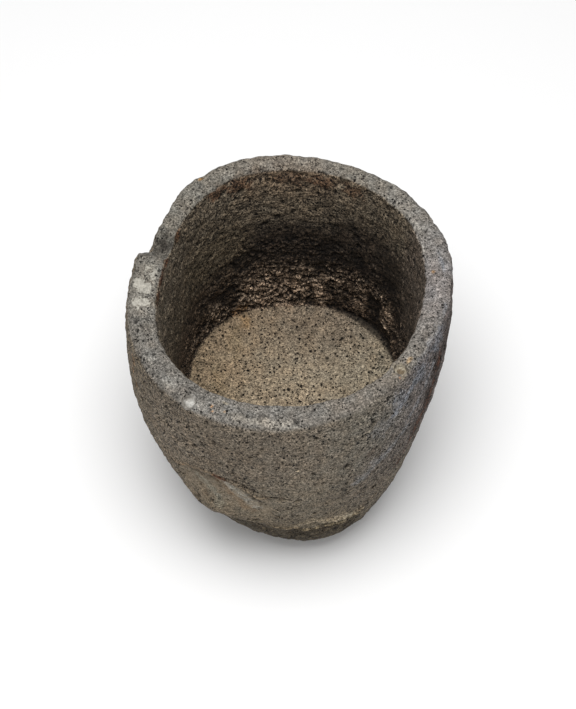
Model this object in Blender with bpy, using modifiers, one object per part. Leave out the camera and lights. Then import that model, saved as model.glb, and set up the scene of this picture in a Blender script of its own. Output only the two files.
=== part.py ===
"""Molcajete: a deep mortar carved from one block of grey volcanic stone, in metres, +Z up.

The origin is on the flat face that it stands on, and -Y is its front. The vessel is one solid stone.
Foreign bodies sit in its rim, each in a pocket of its own: crusts of old lime beside the notch, and
pebbles that the lava had picked up.
"""

import math

import bpy
from mathutils import Matrix, Vector

# Driving dimensions.
HEIGHT = 0.240
CAVITY_DEPTH = 0.172
RIM_RADIUS = 0.1264
MOUTH_RADIUS = 0.1060
FLOOR_RADIUS = 0.0924
RESTING_RADIUS = 0.0720

FLOOR_HEIGHT = HEIGHT - CAVITY_DEPTH
FLOOR_DISH = 0.0015
FLOOR_CORNER = 0.0065
RIM_ROUND = 0.0070
MOUTH_ROUND = 0.0045
WALL_BULGE = 0.85

# The outer wall from the rim down: share of the height, mean radius, and its centre's place in X.
OUTER_WALL = (
    (0.90, 0.1280, 0.0000),
    (0.80, 0.1292, 0.0000),
    (0.69, 0.1290, -0.0003),
    (0.58, 0.1270, -0.0003),
    (0.48, 0.1230, 0.0005),
    (0.38, 0.1183, 0.0014),
    (0.29, 0.1130, 0.0024),
    (0.21, 0.1072, 0.0034),
    (0.14, 0.1012, 0.0040),
    (0.08, 0.0940, 0.0040),
    (0.03, 0.0850, 0.0038),
)
RIM_CENTRE = Vector((0.0000, 0.0080))
FOOT_CENTRE = Vector((0.0038, -0.0045))
MOUTH_CENTRE = Vector((0.0010, 0.0070))
FLOOR_CENTRE = Vector((0.0029, 0.0082))

# How the plan outlines leave the circle: count of lobes, their height, and the bearing of one of them.
RIM_LOBES = ((1, 0.0012, 161), (2, 0.0042, 49), (3, 0.0024, 3), (4, 0.0014, 25))
FOOT_LOBES = ((2, 0.0080, 81), (3, 0.0030, 62))
MOUTH_LOBES = ((1, 0.0017, 96), (2, 0.0043, 64), (3, 0.0014, 104), (4, 0.0021, 33))
FLOOR_LOBES = ((2, 0.0010, 45), (4, 0.0030, 45))

# The flat broken off the rim behind the notch: bearings that it spans, its distance from the rim's
# centre at the top, and how far it leans out on its way down.
FLAT_SPAN = (120, 163)
FLAT_BEARING = 156
FLAT_DISTANCE = 0.1154
FLAT_LEAN = math.tan(math.radians(12))

# The notch, a round-bottomed groove across the rim that falls a little towards the outside.
NOTCH_BEARING = 159.5
NOTCH_RADIUS = 0.0135
NOTCH_DEPTH = 0.0090
NOTCH_SLOPE = 10

# Hollows where flakes left the foot: bearing, height, depth, and reach of the hollow from its middle.
SCARS = (
    (240, 0.040, 0.0030, 0.034),
    (258, 0.012, 0.0050, 0.036),
    (322, 0.008, 0.0025, 0.030),
)

# Bodies in the rim: bearing and distance from the rim's centre, and half sizes outward, along and up.
POCKET_GAP = 0.00035
LIME_CRUSTS = {
    "lime_crust_upper": (173.2, 0.1100, (0.0042, 0.0054, 0.0016)),
    "lime_crust_middle": (180.4, 0.1130, (0.0056, 0.0058, 0.0016)),
    "lime_crust_lower": (188.2, 0.1125, (0.0062, 0.0054, 0.0016)),
}
LIME_SUNK = 0.15
PEBBLES = {
    "white_pebble": (234.2, 0.1262, (0.0050, 0.0056, 0.0040)),
    "ringed_pebble": (318.1, 0.1121, (0.0052, 0.0050, 0.0040)),
}
PEBBLE_SUNK = 0.60

BEARINGS = 90
SMOOTH_ANGLE = math.radians(40)

STONE = ("volcanic_stone", (0.205, 0.185, 0.155), 0.95)
LIME = ("old_lime", (0.46, 0.44, 0.39), 0.85)
PEBBLE = ("pale_mineral", (0.42, 0.39, 0.34), 0.70)


def clear_scene():
    for old in list(bpy.data.objects):
        bpy.data.objects.remove(old)


def collection(name, hidden=False):
    made = bpy.data.collections.new(name)
    made.hide_render = hidden
    bpy.context.scene.collection.children.link(made)
    return made


def material(name, colour, roughness):
    made = bpy.data.materials.new(name)
    made.use_nodes = True
    shader = made.node_tree.nodes["Principled BSDF"]
    shader.inputs["Base Color"].default_value = (*colour, 1.0)
    shader.inputs["Roughness"].default_value = roughness
    return made


def outward(bearing):
    """The unit vector at this bearing, in degrees anticlockwise from +X."""
    return Vector((math.cos(math.radians(bearing)), math.sin(math.radians(bearing))))


def lobes(outline, bearing):
    """How far an outline stands outside its mean circle at this bearing."""
    return sum(
        height * math.cos(count * math.radians(bearing - peak))
        for count, height, peak in outline
    )


def mix(low, high, share):
    return low + (high - low) * min(max(share, 0), 1)


def arc(centre, radius, start, end, steps):
    """Profile points (distance from the axis, height) on an arc between two angles in degrees."""
    angles = [math.radians(start + (end - start) * i / steps) for i in range(steps + 1)]
    return [
        (centre[0] + radius * math.cos(a), centre[1] + radius * math.sin(a))
        for a in angles
    ]


def cavity_profile():
    """The profile from the middle of the cavity's floor, up its wall and over the mouth's round."""
    floor = [
        (0, FLOOR_HEIGHT - FLOOR_DISH),
        (FLOOR_RADIUS * 0.35, FLOOR_HEIGHT - FLOOR_DISH * 0.85),
        (FLOOR_RADIUS * 0.70, FLOOR_HEIGHT - FLOOR_DISH * 0.40),
    ]
    foot = FLOOR_HEIGHT + FLOOR_CORNER
    corner = arc((FLOOR_RADIUS - FLOOR_CORNER, foot), FLOOR_CORNER, -90, -5, 3)
    top = HEIGHT - MOUTH_ROUND
    wall = [
        (mix(FLOOR_RADIUS, MOUTH_RADIUS, share**WALL_BULGE), mix(foot, top, share))
        for share in (0.2, 0.4, 0.6, 0.8)
    ]
    mouth = arc((MOUTH_RADIUS + MOUTH_ROUND, top), MOUTH_ROUND, 180, 90, 3)
    return floor + corner + wall + mouth


def outer_profile():
    """The profile over the rim's outer round, down the wall and in under the foot."""
    rim = arc((RIM_RADIUS - RIM_ROUND, HEIGHT - RIM_ROUND), RIM_ROUND, 90, 10, 3)
    wall = [(radius, share * HEIGHT) for share, radius, _ in OUTER_WALL]
    return rim + wall + [(RESTING_RADIUS, 0), (RESTING_RADIUS / 2, 0), (0, 0)]


def wall_share(reach, height):
    """0 on the cavity's side of the wall, 1 on its outer side, and between them over the rim."""
    if height < FLOOR_HEIGHT - 2 * FLOOR_DISH:
        return 1.0
    if height < HEIGHT - RIM_ROUND:
        return 1.0 if reach > MOUTH_RADIUS + 0.001 else 0.0
    return mix(0, 1, (reach - MOUTH_RADIUS) / (RIM_RADIUS - MOUTH_RADIUS))


def outer_centre(height):
    """The middle of the outer wall's outline at this height."""
    column = [(HEIGHT, RIM_CENTRE.x), *((share * HEIGHT, x) for share, _, x in OUTER_WALL)]
    x = FOOT_CENTRE.x
    for (high, upper), (low, lower) in zip(column, column[1:]):
        if low <= height <= high:
            x = mix(lower, upper, (height - low) / (high - low))
    return Vector((x, mix(FOOT_CENTRE.y, RIM_CENTRE.y, height / HEIGHT)))


def flat_distance(bearing, height):
    """How far out the broken flat lets the wall reach at this bearing."""
    if not FLAT_SPAN[0] < bearing < FLAT_SPAN[1]:
        return 1.0
    out = FLAT_DISTANCE + FLAT_LEAN * (HEIGHT - height)
    return out / math.cos(math.radians(bearing - FLAT_BEARING))


def scar_depth(bearing, radius, height):
    """How far the flake scars take the outer wall in at this place."""
    depth = 0.0
    for middle, level, deepest, size in SCARS:
        turn = math.radians((bearing - middle + 180) % 360 - 180)
        away = math.hypot(turn * radius, height - level) / size
        depth += deepest * max(1 - away**2, 0) ** 2
    return depth


def hand_carved(point):
    """Moves a point of the turned vessel to where the hand-carved one has it."""
    reach = math.hypot(point.x, point.y)
    bearing = math.degrees(math.atan2(point.y, point.x)) % 360
    share = wall_share(reach, point.z)
    up = (point.z - FLOOR_HEIGHT) / CAVITY_DEPTH
    size = mix(0, 1, reach / FLOOR_RADIUS)

    inner = reach + size * mix(lobes(FLOOR_LOBES, bearing), lobes(MOUTH_LOBES, bearing), up)
    inner_place = mix(FLOOR_CENTRE, MOUTH_CENTRE, up) + outward(bearing) * inner

    size = mix(0, 1, reach / RESTING_RADIUS)
    leaves = mix(lobes(FOOT_LOBES, bearing), lobes(RIM_LOBES, bearing), point.z / HEIGHT)
    scarred = scar_depth(bearing, reach, point.z) if point.z > 0 else 0.0
    outer = reach + size * leaves - scarred
    outer = min(outer, flat_distance(bearing, point.z) - (1 - share) * RIM_ROUND)
    outer_place = outer_centre(point.z) + outward(bearing) * outer

    place = inner_place + (outer_place - inner_place) * share
    return Vector((place.x, place.y, point.z))


def evaluated_mesh(shape):
    """A mesh of the shape with its modifiers applied."""
    return bpy.data.meshes.new_from_object(
        shape.evaluated_get(bpy.context.evaluated_depsgraph_get())
    )


def turned_vessel(parts):
    """The vessel turned from its half profile, then pushed out of round."""
    profile = cavity_profile() + outer_profile()
    mesh = bpy.data.meshes.new("vessel_profile")
    mesh.from_pydata(
        [(reach, 0, height) for reach, height in profile],
        [(i, i + 1) for i in range(len(profile) - 1)],
        [],
    )
    vessel = bpy.data.objects.new("stone_vessel", mesh)
    parts.objects.link(vessel)
    screw = vessel.modifiers.new("Turn", "SCREW")
    screw.steps = screw.render_steps = BEARINGS
    screw.use_merge_vertices = True
    screw.merge_threshold = 0.0001
    bpy.context.view_layer.update()
    vessel.data = evaluated_mesh(vessel)
    vessel.modifiers.clear()
    for vertex in vessel.data.vertices:
        vertex.co = hand_carved(vertex.co)
    return vessel


def move_to(home, shape):
    """Puts the shape in this collection alone."""
    for old in list(shape.users_collection):
        old.objects.unlink(shape)
    home.objects.link(shape)
    return shape


def cutter(cutters, shape):
    """Makes the shape a hidden cutter."""
    shape.hide_render = True
    shape.display_type = "WIRE"
    return move_to(cutters, shape)


def cut(vessel, tool):
    change = vessel.modifiers.new(tool.name, "BOOLEAN")
    change.operation = "DIFFERENCE"
    change.solver = "EXACT"
    change.object = tool


def on_rim(bearing, reach, height=HEIGHT):
    """A place by its bearing and distance from the rim's centre."""
    return (RIM_CENTRE + outward(bearing) * reach).to_3d() + Vector((0, 0, height))


def notch_cutter(cutters):
    """A lying cylinder, which cuts the round-bottomed notch and falls towards the outside."""
    bpy.ops.mesh.primitive_cylinder_add(
        vertices=28, radius=NOTCH_RADIUS, depth=4 * NOTCH_RADIUS
    )
    tool = bpy.context.object
    tool.name = "notch_cutter"
    turn = Matrix.Rotation(math.radians(NOTCH_BEARING), 4, "Z")
    lie = Matrix.Rotation(math.radians(90 + NOTCH_SLOPE), 4, "Y")
    centre = on_rim(
        NOTCH_BEARING, (RIM_RADIUS + MOUTH_RADIUS) / 2, HEIGHT - NOTCH_DEPTH + NOTCH_RADIUS
    )
    tool.matrix_world = Matrix.Translation(centre) @ turn @ lie
    return cutter(cutters, tool)


def ellipsoid(name, place, bearing, half_sizes, grow=0.0):
    """A pebble or crust, with half sizes outward, along the rim and up."""
    bpy.ops.mesh.primitive_uv_sphere_add(segments=18, ring_count=9, radius=1)
    shape = bpy.context.object
    shape.name = name
    shape.location = place
    shape.rotation_euler = (0, 0, math.radians(bearing))
    shape.scale = [half + grow for half in half_sizes]
    return shape


def top_of(vessel, place):
    """The height of the vessel's surface above this point of the plan."""
    graph = bpy.context.evaluated_depsgraph_get()
    above = Vector((place.x, place.y, 2 * HEIGHT))
    return vessel.evaluated_get(graph).ray_cast(above, Vector((0, 0, -1)))[1].z


def set_in_rim(parts, cutters, vessel, bodies, finish, sunk):
    """Bodies set in the rim, and for each the cutter of its pocket, larger all round by POCKET_GAP."""
    pockets = []
    for name, (bearing, reach, half_sizes) in bodies.items():
        place = on_rim(bearing, reach)
        place.z = top_of(vessel, place) - sunk * half_sizes[2]
        body = move_to(parts, ellipsoid(name, place, bearing, half_sizes))
        body.data.materials.append(finish)
        body.data.shade_smooth()
        pocket = ellipsoid(f"{name}_pocket", place, bearing, half_sizes, POCKET_GAP)
        pockets.append(cutter(cutters, pocket))
    return pockets


def main():
    clear_scene()
    parts = collection("molcajete")
    cutters = collection("cutters", hidden=True)

    vessel = turned_vessel(parts)
    vessel.data.materials.append(material(*STONE))
    cut(vessel, notch_cutter(cutters))
    bpy.context.view_layer.update()

    pockets = set_in_rim(parts, cutters, vessel, LIME_CRUSTS, material(*LIME), LIME_SUNK)
    pockets += set_in_rim(parts, cutters, vessel, PEBBLES, material(*PEBBLE), PEBBLE_SUNK)
    for pocket in pockets:
        cut(vessel, pocket)
    vessel.data.shade_smooth()
    vessel.data.set_sharp_from_angle(angle=SMOOTH_ANGLE)


main()
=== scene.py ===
"""The looks of the molcajete: pitted volcanic stone, a sooty cavity, and crusts and pebbles in its rim.

Bearings are in degrees anticlockwise from +X about the rim's centre, seen from above. Lengths are in
metres and colours are display values from 0 to 255.

Most places and colours in the tables were measured on the photo with helper scripts and then rounded.
They are not worked out from the frame.
"""

import itertools
import math

import bmesh
import bpy
import numpy as np
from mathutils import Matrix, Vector
from mathutils.bvhtree import BVHTree
from mathutils.kdtree import KDTree


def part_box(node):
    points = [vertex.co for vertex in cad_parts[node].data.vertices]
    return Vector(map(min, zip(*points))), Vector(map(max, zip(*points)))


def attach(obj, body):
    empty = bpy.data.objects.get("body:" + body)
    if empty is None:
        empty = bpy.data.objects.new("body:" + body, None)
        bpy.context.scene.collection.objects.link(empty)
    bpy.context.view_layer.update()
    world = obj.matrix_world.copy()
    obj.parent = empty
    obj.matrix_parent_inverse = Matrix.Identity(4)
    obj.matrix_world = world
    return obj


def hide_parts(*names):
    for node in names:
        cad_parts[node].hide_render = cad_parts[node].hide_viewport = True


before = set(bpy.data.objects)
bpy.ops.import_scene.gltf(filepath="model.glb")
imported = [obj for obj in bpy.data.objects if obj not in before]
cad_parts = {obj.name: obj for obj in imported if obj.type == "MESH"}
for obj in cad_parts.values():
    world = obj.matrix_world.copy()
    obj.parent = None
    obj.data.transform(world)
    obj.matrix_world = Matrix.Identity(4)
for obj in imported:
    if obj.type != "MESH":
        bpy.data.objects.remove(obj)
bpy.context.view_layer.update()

# Where the CAD has the stone, read from its own boxes.
STONE_LOW, STONE_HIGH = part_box("stone_vessel")
TOP = STONE_HIGH.z
FLOOR = 0.068
RIM_CENTRE = np.array([0.0, 0.008])
FLOOR_CENTRE = np.array([0.003, 0.008])

VOXEL = 0.0010
SMOOTHING = 10

MM = 0.001


# ---------------------------------------------------------------- noise


TABLE = 4096
GRADIENTS = np.random.default_rng(11).normal(size=(TABLE, 3))
GRADIENTS /= np.linalg.norm(GRADIENTS, axis=1)[:, None]
GRADIENTS = np.ascontiguousarray(GRADIENTS.T, np.float32)
PRIMES = (73856093, 19349663, 83492791)
SEED_PRIME = 2654435761


def noise(points, cell, seed):
    """Gradient noise, about -1 to 1, with cells of this size."""
    scaled = np.ascontiguousarray((points / cell).T)
    base = np.floor(scaled)
    inside = (scaled - base).astype(np.float32)
    base = base.astype(np.int64)
    ease = inside**3 * (inside * (inside * 6 - 15) + 10)
    keys = [[(base[i] + corner) * PRIMES[i] for corner in (0, 1)] for i in range(3)]
    away = [(inside[i], inside[i] - 1) for i in range(3)]
    share = [(1 - ease[i], ease[i]) for i in range(3)]
    total = np.zeros(len(points), np.float32)
    for i, j, k in itertools.product((0, 1), repeat=3):
        key = (keys[0][i] ^ keys[1][j] ^ keys[2][k] ^ (seed * SEED_PRIME)) & (TABLE - 1)
        slope = GRADIENTS[0][key] * away[0][i]
        slope += GRADIENTS[1][key] * away[1][j]
        slope += GRADIENTS[2][key] * away[2][k]
        total += slope * share[0][i] * share[1][j] * share[2][k]
    return 1.7 * total.astype(float)


def layers(points, cell, seed, octaves=3, gain=0.5):
    """Noise with finer noise on it, each octave half the size."""
    return sum(
        gain**i * noise(points, cell / 2**i, seed + 17 * i) for i in range(octaves)
    )


def step(values, low, high):
    """0 below low, 1 above high, and smooth between them."""
    share = np.clip((values - low) / (high - low), 0, 1)
    return share * share * (3 - 2 * share)


def turn_between(bearing, middle):
    """How far a bearing is from another, in degrees, from -180 to 180."""
    return (bearing - middle + 180) % 360 - 180


def bell(values, width):
    return np.exp(-((values / width) ** 2) / 2)


# ---------------------------------------------------------------- the stone's mesh


def evaluated_mesh(shape):
    graph = bpy.context.evaluated_depsgraph_get()
    return bpy.data.meshes.new_from_object(shape.evaluated_get(graph))


def new_object(name, mesh):
    made = bpy.data.objects.new(name, mesh)
    bpy.context.scene.collection.objects.link(made)
    return made


def points_of(mesh):
    flat = np.zeros(len(mesh.vertices) * 3, np.float32)
    mesh.vertices.foreach_get("co", flat)
    return flat.reshape(-1, 3).astype(float)


def normals_of(mesh):
    flat = np.zeros(len(mesh.vertices) * 3, np.float32)
    mesh.vertex_normals.foreach_get("vector", flat)
    return flat.reshape(-1, 3).astype(float)


def fine_stone():
    """A fine even mesh over the CAD vessel, with its facets smoothed away."""
    stone = new_object("stone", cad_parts["stone_vessel"].data.copy())
    remesh = stone.modifiers.new("Even", "REMESH")
    remesh.mode = "VOXEL"
    remesh.voxel_size = VOXEL
    smooth = stone.modifiers.new("Smooth", "SMOOTH")
    smooth.iterations = SMOOTHING
    bpy.context.view_layer.update()
    stone.data = evaluated_mesh(stone)
    stone.modifiers.clear()
    stone.data.materials.clear()
    return stone


class Places:
    """Each point of the stone: its bearing, reach, height, normal, and how far it is in each zone."""

    def __init__(self, points, normals):
        self.points, self.normals = points, normals
        away = points[:, :2] - RIM_CENTRE
        self.reach = np.linalg.norm(away, axis=1)
        self.bearing = np.degrees(np.arctan2(away[:, 1], away[:, 0])) % 360
        self.height = points[:, 2]
        out = (normals[:, :2] * away).sum(axis=1) / np.maximum(self.reach, 1e-6)
        up = normals[:, 2]
        high = self.height
        self.under = step(-up, 0.6, 0.9) * (high < 0.03)
        self.floor = step(up, 0.60, 0.76) * (high < 0.095) * (self.reach < 0.105)
        self.rim = step(up, 0.25, 0.75) * step(high, TOP - 0.022, TOP - 0.012)
        wall = np.clip(1 - self.rim - self.floor - self.under, 0, 1)
        self.inner = wall * step(-out, -0.12, 0.12) * (high > FLOOR - 0.006)
        self.outer = np.clip(wall - self.inner, 0, 1)


# Where the top of the rim meets the cavity's wall: bearings and reach.
MOUTH_EDGE = ((0, 0.1065), (42, 0.1112), (65, 0.1112), (92, 0.1112), (110, 0.1100), (127, 0.1080),
              (150, 0.1020), (175, 0.1010), (225, 0.1040), (270, 0.1010), (315, 0.1070))

# The rough band at the bottom of the cavity's wall: bearings and its top there.
BAND_TOP = ((0, 0.120), (25, 0.142), (55, 0.158), (85, 0.165), (105, 0.158), (125, 0.142),
            (150, 0.120), (180, 0.102), (225, 0.094), (270, 0.095), (315, 0.100))

# The band's crests are light up to here.
LIGHT_TOP = ((0, 0.104), (25, 0.120), (55, 0.128), (85, 0.124), (105, 0.118), (125, 0.100),
             (150, 0.092), (180, 0.086), (225, 0.090), (270, 0.095), (315, 0.098))

# How light the band's crests are: bearings and strength.
BAND_LIGHT = ((0, 0.32), (20, 0.60), (40, 0.78), (55, 0.80), (70, 0.86), (112, 0.86), (125, 0.76),
              (165, 0.60), (200, 0.35), (270, 0.50), (330, 0.25))

# The flake scar on the front left: its upper edge, as bearings and heights.
SCAR_EDGE = ((228, 0.141), (237, 0.157), (243, 0.162), (250, 0.156), (256, 0.149), (260, 0.138),
             (266, 0.143))
SCAR_DEPTH = 2.8 * MM

# The broken edge above the foot: bearings and heights, and how far the stone goes in below it.
BREAK_EDGE = ((246, 0.094), (252, 0.088), (260, 0.081), (268, 0.074), (275, 0.076), (285, 0.080),
              (294, 0.079), (300, 0.078))
BREAK_DEPTH = 1.9 * MM

# Tool strokes on the outer wall: their turn with height, in radians per metre, and their stretch.
STROKE_TWIST = 5.5
STROKE_STRETCH = 0.22

# The corner that stands out below the scar, and the hollow beside it under the broken edge.
CORNER_OUT = 7.0 * MM
UNDERCUT = 4.6 * MM

# Lines on the outer wall: bearings and heights, half width, colour, strength, and relief in millimetres.
WALL_LINES = (
    (((229, 0.141), (235, 0.150), (241, 0.158), (246, 0.161)), 0.0030, (145, 115, 85), 0.72, 0.5),
    (((246, 0.159), (251, 0.151), (256, 0.142), (260, 0.131), (261, 0.122)),
     0.0019, (34, 25, 19), 1.0, -1.4),
    (((247, 0.163), (254, 0.160), (258, 0.154), (262, 0.145), (269, 0.143)),
     0.0015, (42, 34, 28), 0.9, -1.2),
    (((249, 0.148), (252, 0.137), (256, 0.127), (259, 0.115)), 0.0050, (150, 145, 134), 0.80, 0.4),
    (((236, 0.140), (240, 0.136), (244, 0.124), (246, 0.110)), 0.0056, (130, 125, 110), 0.60, 0.2),
    (((233, 0.144), (238, 0.148), (244, 0.150), (247, 0.144)), 0.0018, (54, 42, 33), 0.75, -0.8),
    (((255, 0.150), (259, 0.144), (262, 0.134)), 0.0030, (134, 118, 96), 0.60, 0.3),
    (((246, 0.148), (250, 0.130), (254, 0.116), (258, 0.106)), 0.0044, (118, 98, 76), 0.60, -0.3),
    (((235, 0.138), (238, 0.128), (241, 0.116)), 0.0020, (70, 58, 46), 0.60, -0.5),
    (((246, 0.162), (248, 0.157)), 0.0030, (86, 54, 38), 0.85, 0.0),
    (((246, 0.090), (250, 0.086), (255, 0.079), (262, 0.072)), 0.0040, (52, 40, 30), 0.75, -0.8),
    (((341, 0.207), (336, 0.183), (326, 0.142), (315, 0.112)), 0.0052, (72, 43, 28), 0.85, -0.4),
    # These three bluish-grey lines on the right side: partly bluish-grey stone, partly painted
    # highlight.
    (((334, 0.212), (327, 0.196), (320, 0.182), (315, 0.170)), 0.0040, (116, 118, 122), 0.55, 0.3),
    (((318, 0.176), (311, 0.164), (303, 0.155), (293, 0.143)), 0.0046, (117, 116, 115), 0.60, 0.3),
    (((322, 0.224), (316, 0.212), (310, 0.206)), 0.0034, (116, 120, 127), 0.50, 0.3),
    (((273, 0.086), (279, 0.093), (285, 0.085), (291, 0.077), (297, 0.079)),
     0.0032, (165, 150, 125), 0.58, 1.2),
    (((276, 0.068), (283, 0.072), (289, 0.064), (296, 0.067)), 0.0028, (155, 140, 112), 0.58, 1.0),
    (((262, 0.080), (267, 0.076), (273, 0.080)), 0.0012, (150, 132, 106), 0.55, 0.8),
)

# The outer wall's mean reach, by which a line's bearings become lengths.
WALL_REACH = 0.130


def from_line(at, stations):
    """How far each point of the wall is from a line of bearings and heights, over its surface."""
    first = stations[0][0]
    here = np.stack([np.radians(turn_between(at.bearing, first)) * at.reach, at.height], axis=1)
    knots = [np.array([math.radians(b - first) * WALL_REACH, z]) for b, z in stations]
    nearest = np.full(len(here), 1.0)
    for a, b in zip(knots, knots[1:]):
        share = np.clip((here - a) @ (b - a) / ((b - a) @ (b - a)), 0, 1)
        away = np.linalg.norm(here - a - share[:, None] * (b - a), axis=1)
        nearest = np.minimum(nearest, away)
    return nearest


def around(bearing, stations):
    """A value given at some bearings, between them, once round."""
    bearings, values = zip(*stations)
    return np.interp(bearing, bearings, values, period=360)


def along(bearing, stations):
    """A value given along part of the way round, and 0 to 1 for how well a bearing is inside it."""
    bearings, values = zip(*stations)
    first, last = bearings[0], bearings[-1]
    share = step(bearing, first, first + 4) * (1 - step(bearing, last - 4, last))
    return np.interp(bearing, bearings, values), share


# The front's bearing. The grain is coarser to both sides of it, and half as much coarser at the back.
FRONT = 266


def relief(at):
    """How far each point of the stone moves along its normal, and the layers that colour follows."""
    p = at.points
    flat = p * np.array([1, 1, 1.8])

    move = 0.70 * MM * layers(p, 0.045, 1, 2)
    edge = bell(np.abs(at.height - TOP + 0.003), 0.006)
    swell = 0.62 * at.outer + 0.34 * at.rim + 0.60 * at.inner + 0.1 * at.floor + 0.45 * edge
    move += swell * MM * layers(p, 0.011, 3, 2, 0.6)

    grain = 0.50 * noise(p, 0.0062, 4) + 0.40 * noise(p, 0.0034, 5) + 0.25 * noise(p, 0.0021, 6)
    from_front = np.abs(turn_between(at.bearing, FRONT))
    sides = step(from_front, 18, 48) * (1 - 0.5 * step(from_front, 80, 120))
    coarse = (0.30 + 0.12 * sides) * at.outer + 0.26 * at.rim + 0.34 * at.inner
    coarse += 0.16 * at.floor + 0.2 * at.under
    move += coarse * MM * grain

    turned = np.radians(at.bearing) - STROKE_TWIST * at.height
    drawn = np.stack(
        [at.reach * np.cos(turned), at.reach * np.sin(turned), at.height * STROKE_STRETCH], axis=1
    )
    strokes = layers(drawn, 0.0034, 91, 2)
    move += (0.24 + 0.20 * sides) * MM * at.outer * strokes

    ledges = 0.6 * layers(flat, 0.012, 8, 3, 0.65) + 0.5 * layers(p, 0.006, 9, 2, 0.6)
    move += 0.60 * MM * at.inner * ledges

    band_top = around(at.bearing, BAND_TOP) + 0.006 * noise(p, 0.018, 21)
    band = at.inner * (1 - step(at.height, band_top - 0.012, band_top + 0.006))
    bent = p + 0.0035 * np.stack([noise(p, 0.014, 23 + i) for i in range(3)], axis=1)
    network = np.abs(layers(bent * np.array([1, 1, 1.7]), 0.0088, 22, 3, 0.6))
    streaks = np.abs(layers(bent * np.array([1, 1, 4.2]), 0.0120, 27, 3, 0.6))
    drawn_out = 1 - step(np.abs(turn_between(at.bearing, 105)), 30, 55)
    ridges = 1 - (streaks + (network - streaks) * drawn_out) * 2.2
    patches = layers(p, 0.022, 26, 2)
    crests = step(ridges, 0.30, 0.90) * step(patches, -0.55, 0.20)
    hollows = step(-ridges, -0.35, 0.45) + 0.8 * step(-patches, 0.0, 0.6)
    hollows = np.clip(hollows, 0, 1.2)
    light_top = around(at.bearing, LIGHT_TOP) + 0.006 * noise(p, 0.018, 21)
    low_band = 1 - step(at.height, light_top - 0.010, light_top + 0.008)
    move += band * (0.6 + 0.4 * low_band) * MM * (1.4 * crests - 1.6 * hollows - 0.5)

    inner_edge = at.reach - around(at.bearing, MOUTH_EDGE)
    bevel = bell(inner_edge, 0.0042) * step(at.height, TOP - 0.016, TOP - 0.006)
    bevel *= (0.25 + 0.75 * bell(turn_between(at.bearing, 92), 42)) * (1 + 0.7 * noise(p, 0.007, 29))
    move -= 1.5 * MM * bevel

    corner = np.hypot(
        np.linalg.norm(p[:, :2] - FLOOR_CENTRE, axis=1) - 0.0935, at.height - FLOOR - 0.0020
    )
    deep = 0.7 + 1.3 * bell(turn_between(at.bearing, 42), 26) + 0.5 * noise(p, 0.016, 31)
    groove = bell(corner, 0.0020) * (1 - at.outer)
    move -= np.clip(deep, 0.2, 3) * MM * groove

    edge, share = along(at.bearing, SCAR_EDGE)
    edge = edge + 0.0018 * noise(p, 0.009, 41) + 0.0008 * noise(p, 0.003, 42)
    below = edge - at.height
    scar = at.outer * share * step(below, 0, 0.0030) * (1 - step(below, 0.030, 0.064))
    scar_lip = at.outer * share * bell(below + 0.0018, 0.0018)
    # Just under the scar's upper edge, where a painted shadow of the overhang goes.
    below_scar = at.outer * share * bell(below - 0.0034, 0.0022)
    move += MM * 0.5 * scar_lip - SCAR_DEPTH * scar * (1 + 0.25 * noise(p, 0.02, 43))

    edge, share = along(at.bearing, BREAK_EDGE)
    edge = edge + 0.0050 * noise(p, 0.014, 51) + 0.0024 * noise(p, 0.005, 52)
    below = edge - at.height
    # The stone below the broken edge, to be darkened: painted shade under the edge, with darker broken
    # stone.
    dark_foot = at.outer * share * step(below, -0.002, 0.006) * (1 - step(below, 0.030, 0.060))
    share = share * (0.35 + 0.65 * step(at.bearing, 266, 274))
    broken = at.outer * share * step(below, 0, 0.004) * (1 - step(below, 0.020, 0.050))
    break_lip = at.outer * share * bell(below + 0.0020, 0.0034)
    flakes = 1 - np.abs(layers(flat, 0.0075, 53, 2)) * 2.2
    move += MM * 1.2 * break_lip * step(flakes, 0, 0.8)
    move -= BREAK_DEPTH * broken * (0.9 - 0.7 * flakes)

    corner_left = bell(turn_between(at.bearing, 242), 8) * bell(at.height - 0.099, 0.012)
    move += CORNER_OUT * at.outer * corner_left
    undercut = bell(turn_between(at.bearing, 258), 5) * bell(at.height - 0.063, 0.009)
    move -= UNDERCUT * at.outer * undercut

    lines = []
    for stations, half, _, _, height in WALL_LINES:
        away = from_line(at, stations) + (0.0005 + 0.35 * half) * layers(p, 0.005, 92, 3)
        near = at.outer * (1 - step(away, 0.4 * half, 1.3 * half))
        lines.append(near)
        move += MM * height * near

    toes = at.outer * (1 - step(at.height, 0.012, 0.055))
    move += MM * toes * (0.9 * noise(p, 0.017, 55) + 0.5 * noise(p, 0.007, 56))

    marks = {
        "bevel": bevel, "below_scar": below_scar,
        "grain": grain, "ledges": ledges, "band": band, "crests": crests, "hollows": hollows,
        "low_band": low_band, "strokes": strokes * (1 + 0.7 * sides), "lines": lines, "sides": sides,
        "groove": groove * np.clip(deep, 0.3, 2), "scar": scar, "scar_lip": scar_lip,
        "dark_foot": dark_foot, "break_lip": break_lip * step(flakes, 0.2, 0.9),
    }
    return move, marks


# The notch's steep side, next to the rim's front shoulder.
NOTCH_BEARING = 160.2
NOTCH_HALF = 0.0036
NOTCH_LOWER = 2.2 * MM
NOTCH_IN = 3.2 * MM


def carve_notch(at, moved):
    """Deepens the notch's bottom and takes its outer end in, for a steep drop off the shoulder."""
    side = np.radians(turn_between(at.bearing, NOTCH_BEARING)) * at.reach
    side = side + 0.0012 * noise(at.points, 0.006, 57)
    high = step(at.height, TOP - 0.026, TOP - 0.012)
    low = np.where(side < 0, bell(side, NOTCH_HALF * 1.25), bell(side, NOTCH_HALF * 0.75))
    outside = step(at.reach, 0.104, 0.113)
    away = (at.points[:, :2] - RIM_CENTRE) / np.maximum(at.reach, 1e-6)[:, None]
    moved[:, 2] -= NOTCH_LOWER * low * high * step(at.reach, 0.095, 0.104)
    moved[:, :2] -= away * (NOTCH_IN * low * high * outside)[:, None]
    return moved


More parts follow.
